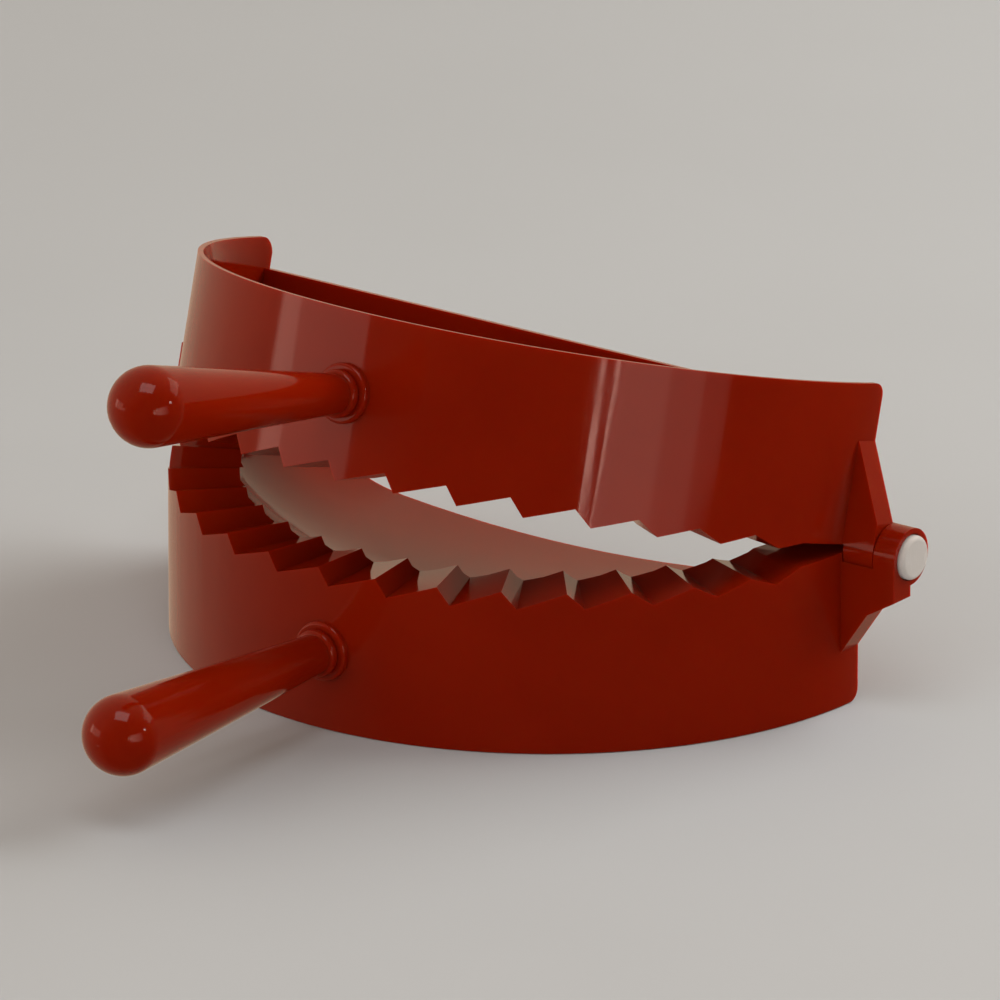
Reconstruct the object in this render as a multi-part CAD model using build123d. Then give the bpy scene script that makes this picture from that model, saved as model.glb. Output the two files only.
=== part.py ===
from build123d import *
import math
import os

# Hinged dough press, millimetres, +Z up.
# Origin: on the table, straight below the middle of the hinge line.
# The hinge line runs along X. The lower jaw and both handles point to -Y.
# Two equal jaws, each turned half a turn from the other, close on each other face to face.
# One half is modelled with the hinge line on the X axis and its pressing face up, then placed twice.

# Skirt: the upright half-round wall that the jaw stands on and cuts dough with
skirt_radius = 87.5
skirt_height = 37.5
wall = 2.2
cutter_land = 1.3
cutter_bevel_height = 3.5
skirt_corner_radius = 3.0
chord_wall_rise = 7.2
face_gap = 0.15

# Crimps: the pleated pressing face
crimp_pitch_angle = 10.0
crimps_each_side = 7
crimp_height = 4.2
crimp_step_angle = 1.8
crimp_last_step_angle = 4.6
crimp_fade_start = 3
crimp_last_share = 0.3
dough_space = 1.4
rim_thickness = 2.4
pad_start_angle = 77.0
fan_end_angle = 100.0

# Bowl: the shallow dish that holds the filling
bowl_lip_radius = 71.0
bowl_depth = 17.2
bowl_floor_reach = 41.0
bowl_floor_rise = 2.1
bowl_lip_wall = 3.0

# Hinge: each jaw has an outer knuckle at one end and an inner one at the other
knuckle_radius = 6.8
knuckle_gap = 0.3
inner_knuckle_length = 8.1
outer_knuckle_length = 5.8
gusset_foot_rise = 13.4
inner_gusset_drop = 6.5
gusset_knee_reach = 7.1
gusset_knee_drop = 13.75
outer_gusset_drop = 9.4

# Hinge pin: pressed into an inner knuckle, running in the outer one beside it
pin_radius = 2.5
pin_running_clearance = 0.06
pin_floor = 1.0
pin_tip_room = 0.3
pin_tip_chamfer = 0.6
pin_head_radius = 5.2
pin_head_thickness = 2.0
pin_head_round = 1.1
pin_seat_depth = 0.8

# Handle: a turned taper with a round end, leaning towards the other handle
handle_rise = 19.0
handle_tilt = 1.8
collar_radius = 5.6
collar_length = 2.6
collar_round = 1.0
neck_radius = 4.7
handle_ball_radius = 9.4
handle_ball_reach = 74.5
spigot_radius = 4.0
spigot_length = 5.6
spigot_side_clearance = 0.05
spigot_end_clearance = 0.2

# Handle boss: the pad on the skirt's outside and the longer boss on its inside
boss_radius = 7.0
boss_proud = 1.5
boss_round = 0.7
inner_boss_radius = 6.0
inner_boss_depth = 4.2

# Screw: holds the handle from inside the skirt
screw_radius = 1.5
screw_hole_clearance = 0.2
screw_bite = 14.0
screw_head_radius = 3.4
screw_head_height = 2.2
screw_head_round = 0.8
slot_width = 1.0
slot_length = 3.6
slot_depth = 1.1

# Pose: how far the jaws stand open at rest
rest_opening = 15.5

# Places along the hinge line, from the middle outwards
inner_start = skirt_radius + knuckle_gap
inner_end = inner_start + inner_knuckle_length
outer_start = inner_end + knuckle_gap
outer_end = outer_start + outer_knuckle_length
pin_head_back = outer_end - pin_seat_depth + knuckle_gap

# The handle's frame has Z along the handle, outwards from the face of its boss
handle_frame = Pos(0, -skirt_radius - boss_proud, handle_rise - skirt_height) * Rot(X=90 - handle_tilt)
screw_seat = -(boss_proud + wall + inner_boss_depth)
screw_tip = screw_seat + screw_bite
top_room = 2 * crimp_height


def rod(radius, start, end):
    return Pos(0, 0, start) * Cylinder(radius, end - start, align=(Align.CENTER, Align.CENTER, Align.MIN))


def rod_x(radius, start, end):
    return Rot(Y=90) * rod(radius, start, end)


def half_disc(radius, inset):
    cover = Rectangle(2 * radius, radius - inset, align=(Align.CENTER, Align.MAX))
    return Circle(radius) & Pos(0, -inset) * cover


def crimp_outline():
    # Angle and height of each corner of the pleats, measured on the skirt, from -X round to +X
    middle = face_gap - dough_space / 2
    corners = [(-fan_end_angle, 0.0), (-pad_start_angle, 0.0)]
    for number in range(-crimps_each_side, crimps_each_side + 1):
        place = abs(number) / crimps_each_side
        span = crimp_step_angle + (crimp_last_step_angle - crimp_step_angle) * place ** 2
        fading = max(0, abs(number) - crimp_fade_start) / max(1, crimps_each_side - crimp_fade_start)
        faded = 1 - (1 - crimp_last_share) * fading
        high = crimp_height / 2 * (faded if number > 0 else 1)
        low = crimp_height / 2 * (faded if number < 0 else 1)
        corners.append((number * crimp_pitch_angle - span / 2, middle + high))
        corners.append((number * crimp_pitch_angle + span / 2, middle - low))
    return corners + [(pad_start_angle, 0.0), (fan_end_angle, 0.0)]


def below_crimps(drop):
    # Everything under the pressing face: flat pleats that all run to one point on the hinge line,
    # drawn out to twice the skirt's radius
    tip = Vector(0, 0, -face_gap - drop)
    foot = Vector(0, 0, -2 * skirt_height)
    upper = []
    lower = []
    for angle, height in crimp_outline():
        across = skirt_radius * math.sin(math.radians(angle))
        along = -skirt_radius * math.cos(math.radians(angle))
        upper.append(tip + Vector(across, along, height) * 2)
        lower.append(foot + Vector(across, along, 0) * 2)
    faces = [[tip, foot, lower[0], upper[0]], [tip, upper[-1], lower[-1], foot], lower + [foot]]
    for first in range(len(upper) - 1):
        faces.append([tip, upper[first], upper[first + 1]])
        faces.append([upper[first], lower[first], lower[first + 1], upper[first + 1]])
    return Solid(Shell([Face(Wire.make_polygon(face, close=True)) for face in faces]))


def bowl(depth, lip_radius):
    # A dish with a nearly flat floor whose side sweeps up to the lip
    lip_level = -dough_space / 2
    floor = TangentArc((0, -depth), (bowl_floor_reach, bowl_floor_rise - depth), tangent=(1, 0))
    side = TangentArc(floor @ 1, (lip_radius, lip_level), tangent=floor % 1)
    closing = Polyline(side @ 1, (lip_radius, top_room), (0, top_room), floor @ 0)
    return revolve(Plane.XZ * make_face(floor + side + closing), Axis.Z)


def skirt_and_face():
    blank = Pos(0, 0, -skirt_height) * extrude(half_disc(skirt_radius, face_gap), skirt_height + top_room)
    foot_edge = blank.edges().filter_by(Axis.X).sort_by(Axis.Z)[0]
    blank = fillet(foot_edge, skirt_corner_radius)
    return (blank & below_crimps(0)) - bowl(bowl_depth, bowl_lip_radius)


def hollow():
    # The open back of the jaw, between the skirt, the chord wall and the underside of the bowl
    room = extrude(half_disc(skirt_radius - wall, face_gap + wall), skirt_height + top_room)
    room = (Pos(0, 0, -skirt_height) * room) & below_crimps(rim_thickness)
    room = room - bowl(bowl_depth + wall, bowl_lip_radius + bowl_lip_wall)
    doorway = extrude(half_disc(skirt_radius - wall, 0), chord_wall_rise)
    bevel = Cone(skirt_radius - cutter_land, skirt_radius - wall, cutter_bevel_height)
    bevel = bevel & Pos(0, -skirt_radius, 0) * Box(2 * skirt_radius, 2 * skirt_radius, cutter_bevel_height)
    doorway = doorway + Pos(0, 0, cutter_bevel_height / 2) * bevel
    return room + Pos(0, 0, -skirt_height) * doorway


def gusset(lower_corners, end):
    # A flared lug from the skirt's side to a knuckle, as deep as the knuckle's radius
    root = skirt_radius - wall / 2
    foot = gusset_foot_rise - skirt_height
    corners = [(root, foot), (skirt_radius, foot)] + lower_corners + [(end, -face_gap), (root, -face_gap)]
    outline = Plane.XZ * make_face(Polyline(corners, close=True))
    return Pos(0, -face_gap, 0) * extrude(outline, knuckle_radius - face_gap)


def inner_knuckle():
    lug = gusset([(inner_end, -inner_gusset_drop)], inner_end)
    return lug + rod_x(knuckle_radius, inner_start, inner_end)


def outer_knuckle():
    # The lug passes under the other jaw's inner knuckle and clears it
    knee = (skirt_radius + gusset_knee_reach, -gusset_knee_drop)
    lug = gusset([knee, (outer_end, -outer_gusset_drop)], outer_end)
    lug -= rod_x(knuckle_radius + knuckle_gap, skirt_radius, outer_start)
    return lug + rod_x(knuckle_radius, outer_start, outer_end)


def pin_bores():
    # A running bore and a head seat in the outer knuckle at +X, a blind press bore in the inner one at -X
    running_bore = rod_x(pin_radius + pin_running_clearance, inner_end, outer_end)
    head_seat = rod_x(pin_head_radius + knuckle_gap, outer_end - pin_seat_depth, outer_end)
    press_bore = rod_x(pin_radius, inner_start + pin_floor, inner_end)
    return running_bore + head_seat + Rot(Z=180) * press_bore


def handle_boss():
    pad = rod(boss_radius, -boss_proud - wall / 2, 0)
    pad = fillet(pad.edges().sort_by(Axis.Z)[-1], boss_round)
    return pad + rod(inner_boss_radius, screw_seat, -boss_proud - wall / 2)


def handle_socket():
    socket = rod(spigot_radius + spigot_side_clearance, -spigot_length - spigot_end_clearance, 0)
    return socket + rod(screw_radius + screw_hole_clearance, screw_seat, 0)


def jaw():
    shell = skirt_and_face() - hollow() + handle_frame * handle_boss()
    shell += outer_knuckle() + mirror(inner_knuckle(), Plane.YZ)
    return shell - pin_bores() - handle_frame * handle_socket()


def handle():
    # Spigot, collar, straight taper and round end, the taper running smoothly into the round end
    ball_distance = math.hypot(handle_ball_reach - collar_length, neck_radius)
    lean = math.atan2(neck_radius, handle_ball_reach - collar_length)
    slope = math.asin(handle_ball_radius / ball_distance) - lean
    touch_radius = handle_ball_radius * math.cos(slope)
    touch_reach = handle_ball_reach - handle_ball_radius * math.sin(slope)
    side = Line((neck_radius, collar_length), (touch_radius, touch_reach))
    end = TangentArc(side @ 1, (0, handle_ball_reach + handle_ball_radius), tangent=side % 1)
    spigot = Polyline(
        end @ 1,
        (0, -spigot_length),
        (spigot_radius, -spigot_length),
        (spigot_radius, collar_length),
        (neck_radius, collar_length),
    )
    grip = revolve(Plane.XZ * make_face(side + end + spigot), Axis.Z)
    collar = rod(collar_radius, 0, collar_length)
    collar = fillet(collar.edges().filter_by(GeomType.CIRCLE), collar_round)
    return handle_frame * (grip + collar - rod(screw_radius, -spigot_length, screw_tip))


def screw():
    head = rod(screw_head_radius, screw_seat - screw_head_height, screw_seat)
    head = fillet(head.edges().sort_by(Axis.Z)[0], screw_head_round)
    slot = Box(slot_length, slot_width, 2 * slot_depth) + Box(slot_width, slot_length, 2 * slot_depth)
    head -= Pos(0, 0, screw_seat - screw_head_height) * slot
    return handle_frame * (head + rod(screw_radius, screw_seat, screw_tip))


def hinge_pin():
    # Drawn at +X, then turned to the inner knuckle at -X
    shank = rod_x(pin_radius, inner_start + pin_floor + pin_tip_room, pin_head_back)
    shank = chamfer(shank.edges().sort_by(Axis.X)[0], pin_tip_chamfer)
    head = rod_x(pin_head_radius, pin_head_back, pin_head_back + pin_head_thickness)
    head = fillet(head.edges().sort_by(Axis.X)[-1], pin_head_round)
    return Rot(Z=180) * (shank + head)


def place_lower(piece):
    return Pos(0, 0, skirt_height) * piece


def place_upper(piece):
    return Pos(0, 0, skirt_height) * Rot(X=-rest_opening) * Rot(Y=180) * piece


def build_nodes():
    jaw_shape = jaw()
    handle_shape = handle()
    screw_shape = screw()
    pin_shape = hinge_pin()
    return {
        "lower_jaw": place_lower(jaw_shape),
        "upper_jaw": place_upper(jaw_shape),
        "lower_handle": place_lower(handle_shape),
        "upper_handle": place_upper(handle_shape),
        "lower_handle_screw": place_lower(screw_shape),
        "upper_handle_screw": place_upper(screw_shape),
        "left_hinge_pin": place_lower(pin_shape),
        "right_hinge_pin": place_upper(pin_shape),
    }


os.makedirs("parts", exist_ok=True)
for name, piece in build_nodes().items():
    export_step(piece, f"parts/{name}.step")
    print(name, round(piece.volume, 1))
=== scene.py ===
import bmesh
import bpy
import math
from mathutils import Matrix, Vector


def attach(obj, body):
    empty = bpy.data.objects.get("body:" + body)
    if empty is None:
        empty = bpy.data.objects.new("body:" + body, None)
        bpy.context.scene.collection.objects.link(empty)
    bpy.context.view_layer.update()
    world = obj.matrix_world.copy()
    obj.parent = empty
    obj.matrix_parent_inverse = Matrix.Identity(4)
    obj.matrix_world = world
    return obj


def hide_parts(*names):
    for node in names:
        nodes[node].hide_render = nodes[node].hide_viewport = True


# Hinged dough press in red plastic, part open on its lower rim, dressed around the CAD frame
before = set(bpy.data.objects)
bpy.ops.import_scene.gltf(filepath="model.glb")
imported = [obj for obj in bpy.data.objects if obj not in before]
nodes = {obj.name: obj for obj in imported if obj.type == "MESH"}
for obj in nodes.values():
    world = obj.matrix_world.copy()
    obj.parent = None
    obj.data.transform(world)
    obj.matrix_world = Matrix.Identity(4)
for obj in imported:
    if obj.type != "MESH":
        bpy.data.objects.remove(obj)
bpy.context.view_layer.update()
print("frame loaded:", len(nodes), "nodes")


# Camera

shot = {
    "azimuth": 35.9,  # degrees from the front towards +X
    "elevation": 19.8,
    "distance": 5.2,
    "target": (0.0215, -0.0485, 0.0485),
    "width": 0.228,  # metres across the frame at the target
    "sensor": 36,
    "farthest": 50,
}


def onSphere(azimuth, elevation, distance, centre):
    # A point round the centre, azimuth from the front towards +X
    turn = math.radians(azimuth)
    lift = math.radians(elevation)
    away = Vector((math.sin(turn) * math.cos(lift), -math.cos(turn) * math.cos(lift), math.sin(lift)))
    return Vector(centre) + away * distance


def aimedAt(place, centre):
    return (Vector(centre) - place).to_track_quat("-Z", "Y").to_euler()


def makeCamera(look):
    data = bpy.data.cameras.new("camera")
    data.sensor_width = look["sensor"]
    data.lens = look["sensor"] * look["distance"] / look["width"]
    data.clip_end = look["farthest"]
    camera = bpy.data.objects.new("camera", data)
    camera.location = onSphere(look["azimuth"], look["elevation"], look["distance"], look["target"])
    camera.rotation_euler = aimedAt(camera.location, look["target"])
    bpy.context.scene.collection.objects.link(camera)
    bpy.context.scene.camera = camera


# Node helpers

noiseRoughness = 0.55


def addNode(tree, kind, **settings):
    # A setting goes to the input of that name, or else to the node itself
    node = tree.nodes.new(kind)
    for name, value in settings.items():
        if name in node.inputs:
            node.inputs[name].default_value = value
        else:
            setattr(node, name, value)
    return node


def newGroup(name, inputs, outputs):
    group = bpy.data.node_groups.new(name, "ShaderNodeTree")
    for label, value in inputs.items():
        socket = group.interface.new_socket(label, in_out="INPUT", socket_type="NodeSocketFloat")
        socket.default_value = value
    for label in outputs:
        group.interface.new_socket(label, in_out="OUTPUT", socket_type="NodeSocketFloat")
    return group, group.nodes.new("NodeGroupInput"), group.nodes.new("NodeGroupOutput")


def noiseAt(tree, place, scale, detail, stretch=None):
    # Noise in object space, scale in cycles per metre
    if stretch:
        mapping = addNode(tree, "ShaderNodeMapping", Scale=stretch)
        tree.links.new(place, mapping.inputs["Vector"])
        place = mapping.outputs[0]
    noise = addNode(tree, "ShaderNodeTexNoise", Scale=scale, Detail=detail, Roughness=noiseRoughness)
    tree.links.new(place, noise.inputs["Vector"])
    return noise.outputs["Fac"]


def ranged(tree, value, source, target):
    # Maps a value from one range to another and clamps it there
    node = addNode(tree, "ShaderNodeMapRange")
    node.inputs["From Min"].default_value, node.inputs["From Max"].default_value = source
    node.inputs["To Min"].default_value, node.inputs["To Max"].default_value = target
    tree.links.new(value, node.inputs["Value"])
    return node.outputs["Result"]


def combine(tree, operation, *values):
    node = addNode(tree, "ShaderNodeMath", operation=operation)
    for socket, value in zip(node.inputs, values):
        if isinstance(value, (int, float)):
            socket.default_value = value
        else:
            tree.links.new(value, socket)
    return node.outputs[0]


def newMaterial(name):
    material = bpy.data.materials.new(name)
    material.use_nodes = True
    tree = material.node_tree
    return material, tree, tree.nodes["Principled BSDF"]


def colourBetween(tree, factor, first, second):
    mix = addNode(tree, "ShaderNodeMix", data_type="RGBA")
    mix.inputs["A"].default_value = (*first, 1)
    mix.inputs["B"].default_value = (*second, 1)
    tree.links.new(factor, mix.inputs["Factor"])
    return mix.outputs["Result"]


# Moulded plastic

# Scales in cycles per metre, heights as shares of a material's bump distance
mouldedLook = {
    "flowScale": 26,
    "flowDetail": 3,
    "flowRange": (0.3, 0.7),
    "flowHeight": 2.5,
    "toneRange": (0.25, 0.75),
    "peelScale": 950,
    "peelDetail": 2,
    "peelHeight": 0.08,
    "speckScale": 2600,
    "speckDetail": 1,
    "speckRange": (0.72, 0.78),
    "speckDulling": 0.1,
    "scratchScale": 60,
    "scratchDetail": 6,
    "scratchStretch": (1.0, 14.0, 1.6),
    "scratchWidth": 0.006,
    "scratchDulling": 0.12,
    "scratchDepth": 0.08,
}


def mouldedSkin(look):
    # Injection-moulded skin: slow flow marks, a faint orange peel, dust specks and hair scratches
    group, given, result = newGroup(
        "mouldedSkin", {"Gloss": 0.2, "Uneven": 0.1, "Scratches": 0.5}, ("Tone", "Roughness", "Height")
    )
    place = group.nodes.new("ShaderNodeTexCoord").outputs["Object"]
    flow = noiseAt(group, place, look["flowScale"], look["flowDetail"])
    peel = noiseAt(group, place, look["peelScale"], look["peelDetail"])
    speck = noiseAt(group, place, look["speckScale"], look["speckDetail"])
    streak = noiseAt(group, place, look["scratchScale"], look["scratchDetail"], look["scratchStretch"])
    specks = ranged(group, speck, look["speckRange"], (0, 1))

    # A scratch runs where the stretched noise crosses its middle value
    offLine = combine(group, "ABSOLUTE", combine(group, "SUBTRACT", streak, 0.5))
    onLine = combine(group, "SUBTRACT", 1, ranged(group, offLine, (0, look["scratchWidth"]), (0, 1)))
    scratch = combine(group, "MULTIPLY", onLine, given.outputs["Scratches"])

    swing = ranged(group, flow, look["flowRange"], (-1, 1))
    wander = combine(group, "MULTIPLY", swing, given.outputs["Uneven"])
    rough = combine(group, "ADD", given.outputs["Gloss"], wander)
    rough = combine(group, "ADD", rough, combine(group, "MULTIPLY", scratch, look["scratchDulling"]))
    rough = combine(group, "ADD", rough, combine(group, "MULTIPLY", specks, look["speckDulling"]))

    peeled = combine(group, "MULTIPLY", peel, look["peelHeight"])
    height = combine(group, "SUBTRACT", peeled, combine(group, "MULTIPLY", scratch, look["scratchDepth"]))
    height = combine(group, "ADD", height, combine(group, "MULTIPLY", flow, look["flowHeight"]))

    group.links.new(ranged(group, flow, look["toneRange"], (0, 1)), result.inputs["Tone"])
    group.links.new(rough, result.inputs["Roughness"])
    group.links.new(height, result.inputs["Height"])
    return group


redLook = {
    "deep": (0.215, 0.008, 0.0005),
    "bright": (0.255, 0.0108, 0.0009),
    "gloss": 0.08,
    "uneven": 0.02,
    "scratches": 0.35,
    "bumpStrength": 0.3,
    "bumpDistance": 0.00008,
    "ior": 1.49,
    "specular": 0.3,
    "glow": 0.5,  # thin walls let some light through
    "glowReach": (0.004, 0.0005, 0.0002),
}

whiteLook = {
    "deep": (0.56, 0.56, 0.54),
    "bright": (0.63, 0.63, 0.61),
    "gloss": 0.28,
    "uneven": 0.04,
    "scratches": 0.3,
    "bumpStrength": 0.15,
    "bumpDistance": 0.00006,
    "ior": 1.49,
    "specular": 0.5,
    "glow": 0.06,
    "glowReach": (0.001, 0.001, 0.0009),
}


def mouldedPlastic(name, skin, look):
    material, tree, shader = newMaterial(name)
    coat = addNode(tree, "ShaderNodeGroup", node_tree=skin)
    coat.inputs["Gloss"].default_value = look["gloss"]
    coat.inputs["Uneven"].default_value = look["uneven"]
    coat.inputs["Scratches"].default_value = look["scratches"]
    colour = colourBetween(tree, coat.outputs["Tone"], look["deep"], look["bright"])
    bump = addNode(tree, "ShaderNodeBump", Strength=look["bumpStrength"], Distance=look["bumpDistance"])
    tree.links.new(coat.outputs["Height"], bump.inputs["Height"])
    tree.links.new(colour, shader.inputs["Base Color"])
    tree.links.new(coat.outputs["Roughness"], shader.inputs["Roughness"])
    tree.links.new(bump.outputs["Normal"], shader.inputs["Normal"])
    shader.inputs["IOR"].default_value = look["ior"]
    shader.inputs["Specular IOR Level"].default_value = look["specular"]
    shader.inputs["Subsurface Weight"].default_value = look["glow"]
    shader.inputs["Subsurface Radius"].default_value = look["glowReach"]
    shader.inputs["Subsurface Scale"].default_value = 1
    return material


# Screw steel

screwLook = {
    "deep": (0.42, 0.42, 0.41),
    "bright": (0.62, 0.62, 0.6),
    "turnedScale": 3200,
    "turnedDetail": 2,
    "turnedStretch": (0.15, 1.0, 0.15),
    "patchScale": 420,
    "patchDetail": 4,
    "patchRange": (0.3, 0.7),
    "gloss": (0.24, 0.42),
    "bumpStrength": 0.3,
    "bumpDistance": 0.00002,
}


def screwSteel(look):
    # Plated steel with fine turning rings and a duller, patchy plating
    material, tree, shader = newMaterial("screwSteel")
    place = tree.nodes.new("ShaderNodeTexCoord").outputs["Object"]
    rings = noiseAt(tree, place, look["turnedScale"], look["turnedDetail"], look["turnedStretch"])
    patches = noiseAt(tree, place, look["patchScale"], look["patchDetail"])
    bump = addNode(tree, "ShaderNodeBump", Strength=look["bumpStrength"], Distance=look["bumpDistance"])
    tree.links.new(rings, bump.inputs["Height"])
    tree.links.new(colourBetween(tree, patches, look["deep"], look["bright"]), shader.inputs["Base Color"])
    tree.links.new(ranged(tree, patches, look["patchRange"], look["gloss"]), shader.inputs["Roughness"])
    tree.links.new(bump.outputs["Normal"], shader.inputs["Normal"])
    shader.inputs["Metallic"].default_value = 1
    return material


# Pieces

softEdges = {
    "mergeWithin": 0.000002,
    "flatWithin": math.radians(0.6),
    "sharpFrom": math.radians(24),  # edges that get rounded
    "sharpOver": math.radians(60),  # edges that still shade as sharp
    "width": 0.00032,
    "segments": 2,
    "evenWeight": 100,
}


def dress(piece, material):
    piece.data.materials.clear()
    piece.data.materials.append(material)


def softened(node, body, name, look):
    # The moulded jaw with its sharp edges rounded, as they leave the mould
    shape = bmesh.new()
    shape.from_mesh(nodes[node].data)
    bmesh.ops.remove_doubles(shape, verts=shape.verts, dist=look["mergeWithin"])
    joined = [edge for edge in shape.edges if edge.is_manifold]
    bmesh.ops.dissolve_limit(
        shape, angle_limit=look["flatWithin"], use_dissolve_boundaries=False, verts=shape.verts, edges=joined
    )
    sharp = [edge for edge in shape.edges if edge.is_manifold and edge.calc_face_angle() > look["sharpFrom"]]
    bmesh.ops.bevel(
        shape, geom=sharp, offset=look["width"], offset_type="OFFSET", affect="EDGES",
        segments=look["segments"], profile=0.5, material=-1, clamp_overlap=True,
    )
    mesh = bpy.data.meshes.new(name)
    shape.to_mesh(mesh)
    shape.free()
    mesh.shade_smooth()
    mesh.set_sharp_from_angle(angle=look["sharpOver"])
    piece = bpy.data.objects.new(name, mesh)
    bpy.context.scene.collection.objects.link(piece)
    evening = piece.modifiers.new("evenNormals", "WEIGHTED_NORMAL")
    evening.mode = "FACE_AREA"
    evening.weight = look["evenWeight"]
    evening.keep_sharp = True
    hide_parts(node)
    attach(piece, body)
    print(name, len(mesh.polygons), "faces")
    return piece


skin = mouldedSkin(mouldedLook)
redPlastic = mouldedPlastic("redPlastic", skin, redLook)
whitePlastic = mouldedPlastic("whitePlastic", skin, whiteLook)
steel = screwSteel(screwLook)
print("materials made")

for half in ("lower", "upper"):
    jaw = softened(half + "_jaw", half + "_half", half + "JawMoulding", softEdges)
    dress(jaw, redPlastic)
    dress(nodes[half + "_handle"], redPlastic)
    dress(nodes[half + "_handle_screw"], steel)
for side in ("left", "right"):
    dress(nodes[side + "_hinge_pin"], whitePlastic)
print("pieces dressed")


# Stage

floorLook = {
    "size": 9,
    "drop": 0.0002,  # keeps the rim clear of the floor
    "deep": (0.475, 0.52, 0.55),
    "bright": (0.525, 0.572, 0.605),
    "cloudScale": 5,
    "cloudDetail": 3,
    "cloudRange": (0.3, 0.7),
    "gloss": (0.8, 0.9),
}


def makeFloor(look):
    shape = bmesh.new()
    bmesh.ops.create_grid(shape, x_segments=2, y_segments=2, size=look["size"])
    mesh = bpy.data.meshes.new("floor")
    shape.to_mesh(mesh)
    shape.free()
    floor = bpy.data.objects.new("floor", mesh)
    floor.location = (0, 0, -look["drop"])
    floor.visible_glossy = False  # keeps its pale cast out of the red gloss
    bpy.context.scene.collection.objects.link(floor)
    material, tree, shader = newMaterial("paleTable")
    place = tree.nodes.new("ShaderNodeTexCoord").outputs["Object"]
    cloud = noiseAt(tree, place, look["cloudScale"], look["cloudDetail"])
    tree.links.new(colourBetween(tree, cloud, look["deep"], look["bright"]), shader.inputs["Base Color"])
    tree.links.new(ranged(tree, cloud, look["cloudRange"], look["gloss"]), shader.inputs["Roughness"])
    dress(floor, material)


warmTint = (1.0, 0.8, 0.66)
rosyTint = (1.0, 0.62, 0.5)
plainTint = (1.0, 0.98, 0.95)

# Panels round the press, in degrees and metres
# "mirrored" says whether glossy surfaces show the panel itself
panels = {
    "leftBand": {
        "azimuth": -60, "elevation": 6, "distance": 0.9, "size": (0.12, 0.22),
        "radiance": 1.3, "tint": rosyTint, "mirrored": True,
    },
    "leftSoft": {
        "azimuth": -46, "elevation": 6, "distance": 0.95, "size": (0.57, 0.22),
        "radiance": 1.3, "tint": rosyTint, "mirrored": True,
    },
    "rightBand": {
        "azimuth": 59.5, "elevation": 6, "distance": 0.95, "size": (0.25, 0.3),
        "radiance": 2.4, "tint": rosyTint, "mirrored": True,
    },
    "rightFade": {
        "azimuth": 72, "elevation": 6, "distance": 0.95, "size": (0.166, 0.34),
        "radiance": 1.6, "tint": rosyTint, "mirrored": True,
    },
    "rightEnd": {
        "azimuth": 81, "elevation": 6, "distance": 0.95, "size": (0.133, 0.34),
        "radiance": 0.8, "tint": rosyTint, "mirrored": True,
    },
    "stripInner": {
        "azimuth": 46, "elevation": 6, "distance": 0.9, "size": (0.013, 0.18),
        "radiance": 17.0, "tint": rosyTint, "mirrored": True,
    },
    "stripOuter": {
        "azimuth": 50.8, "elevation": 6, "distance": 0.9, "size": (0.013, 0.18),
        "radiance": 17.0, "tint": rosyTint, "mirrored": True,
    },
    "overhead": {
        "azimuth": 20, "elevation": 70, "distance": 1.5, "size": (0.9, 0.7),
        "radiance": 2.2, "tint": plainTint, "mirrored": True,
    },
    "backKey": {
        "azimuth": 150, "elevation": 32, "distance": 1.4, "size": (1.3, 1.0),
        "radiance": 3.8, "tint": plainTint, "mirrored": False,
    },
    "backGlow": {
        "azimuth": 152, "elevation": 34, "distance": 1.3, "size": (1.0, 0.5),
        "radiance": 1.0, "tint": warmTint, "mirrored": True,
    },
    "spark": {
        "azimuth": 100, "elevation": 20, "distance": 1.2, "size": (0.1, 0.12),
        "radiance": 12.0, "tint": plainTint, "mirrored": True,
    },
    "frontFill": {
        "azimuth": -8, "elevation": 26, "distance": 1.6, "size": (2.6, 0.9),
        "radiance": 1.4, "tint": plainTint, "mirrored": False,
    },
}


def makePanel(name, look):
    width, height = look["size"]
    light = bpy.data.lights.new(name, "AREA")
    light.shape = "RECTANGLE"
    light.size = width
    light.size_y = height
    light.color = look["tint"]
    light.energy = look["radiance"] * width * height * math.pi
    lamp = bpy.data.objects.new(name, light)
    lamp.location = onSphere(look["azimuth"], look["elevation"], look["distance"], shot["target"])
    lamp.rotation_euler = aimedAt(lamp.location, shot["target"])
    lamp.visible_camera = False
    lamp.visible_glossy = look["mirrored"]
    bpy.context.scene.collection.objects.link(lamp)


worldLook = {
    "towards": (-0.8, 0.5, 0.3),  # where the room is palest
    "spread": (-0.4, 0.9),
    "levels": (0.05, 0.58),
    "tint": (1.0, 0.72, 0.5),
}


def makeWorld(look):
    world = bpy.data.worlds.new("studio")
    bpy.context.scene.world = world
    world.use_nodes = True
    tree = world.node_tree
    direction = tree.nodes.new("ShaderNodeTexCoord").outputs["Generated"]
    facing = addNode(tree, "ShaderNodeVectorMath", operation="DOT_PRODUCT")
    facing.inputs[1].default_value = Vector(look["towards"]).normalized()
    tree.links.new(direction, facing.inputs[0])
    level = ranged(tree, facing.outputs["Value"], look["spread"], look["levels"])
    tree.links.new(level, tree.nodes["Background"].inputs["Strength"])
    tree.nodes["Background"].inputs["Color"].default_value = (*look["tint"], 1)


makeFloor(floorLook)
for panelName, panelLook in panels.items():
    makePanel(panelName, panelLook)
makeWorld(worldLook)
makeCamera(shot)
bpy.context.scene.view_settings.view_transform = "Standard"
print("stage set")
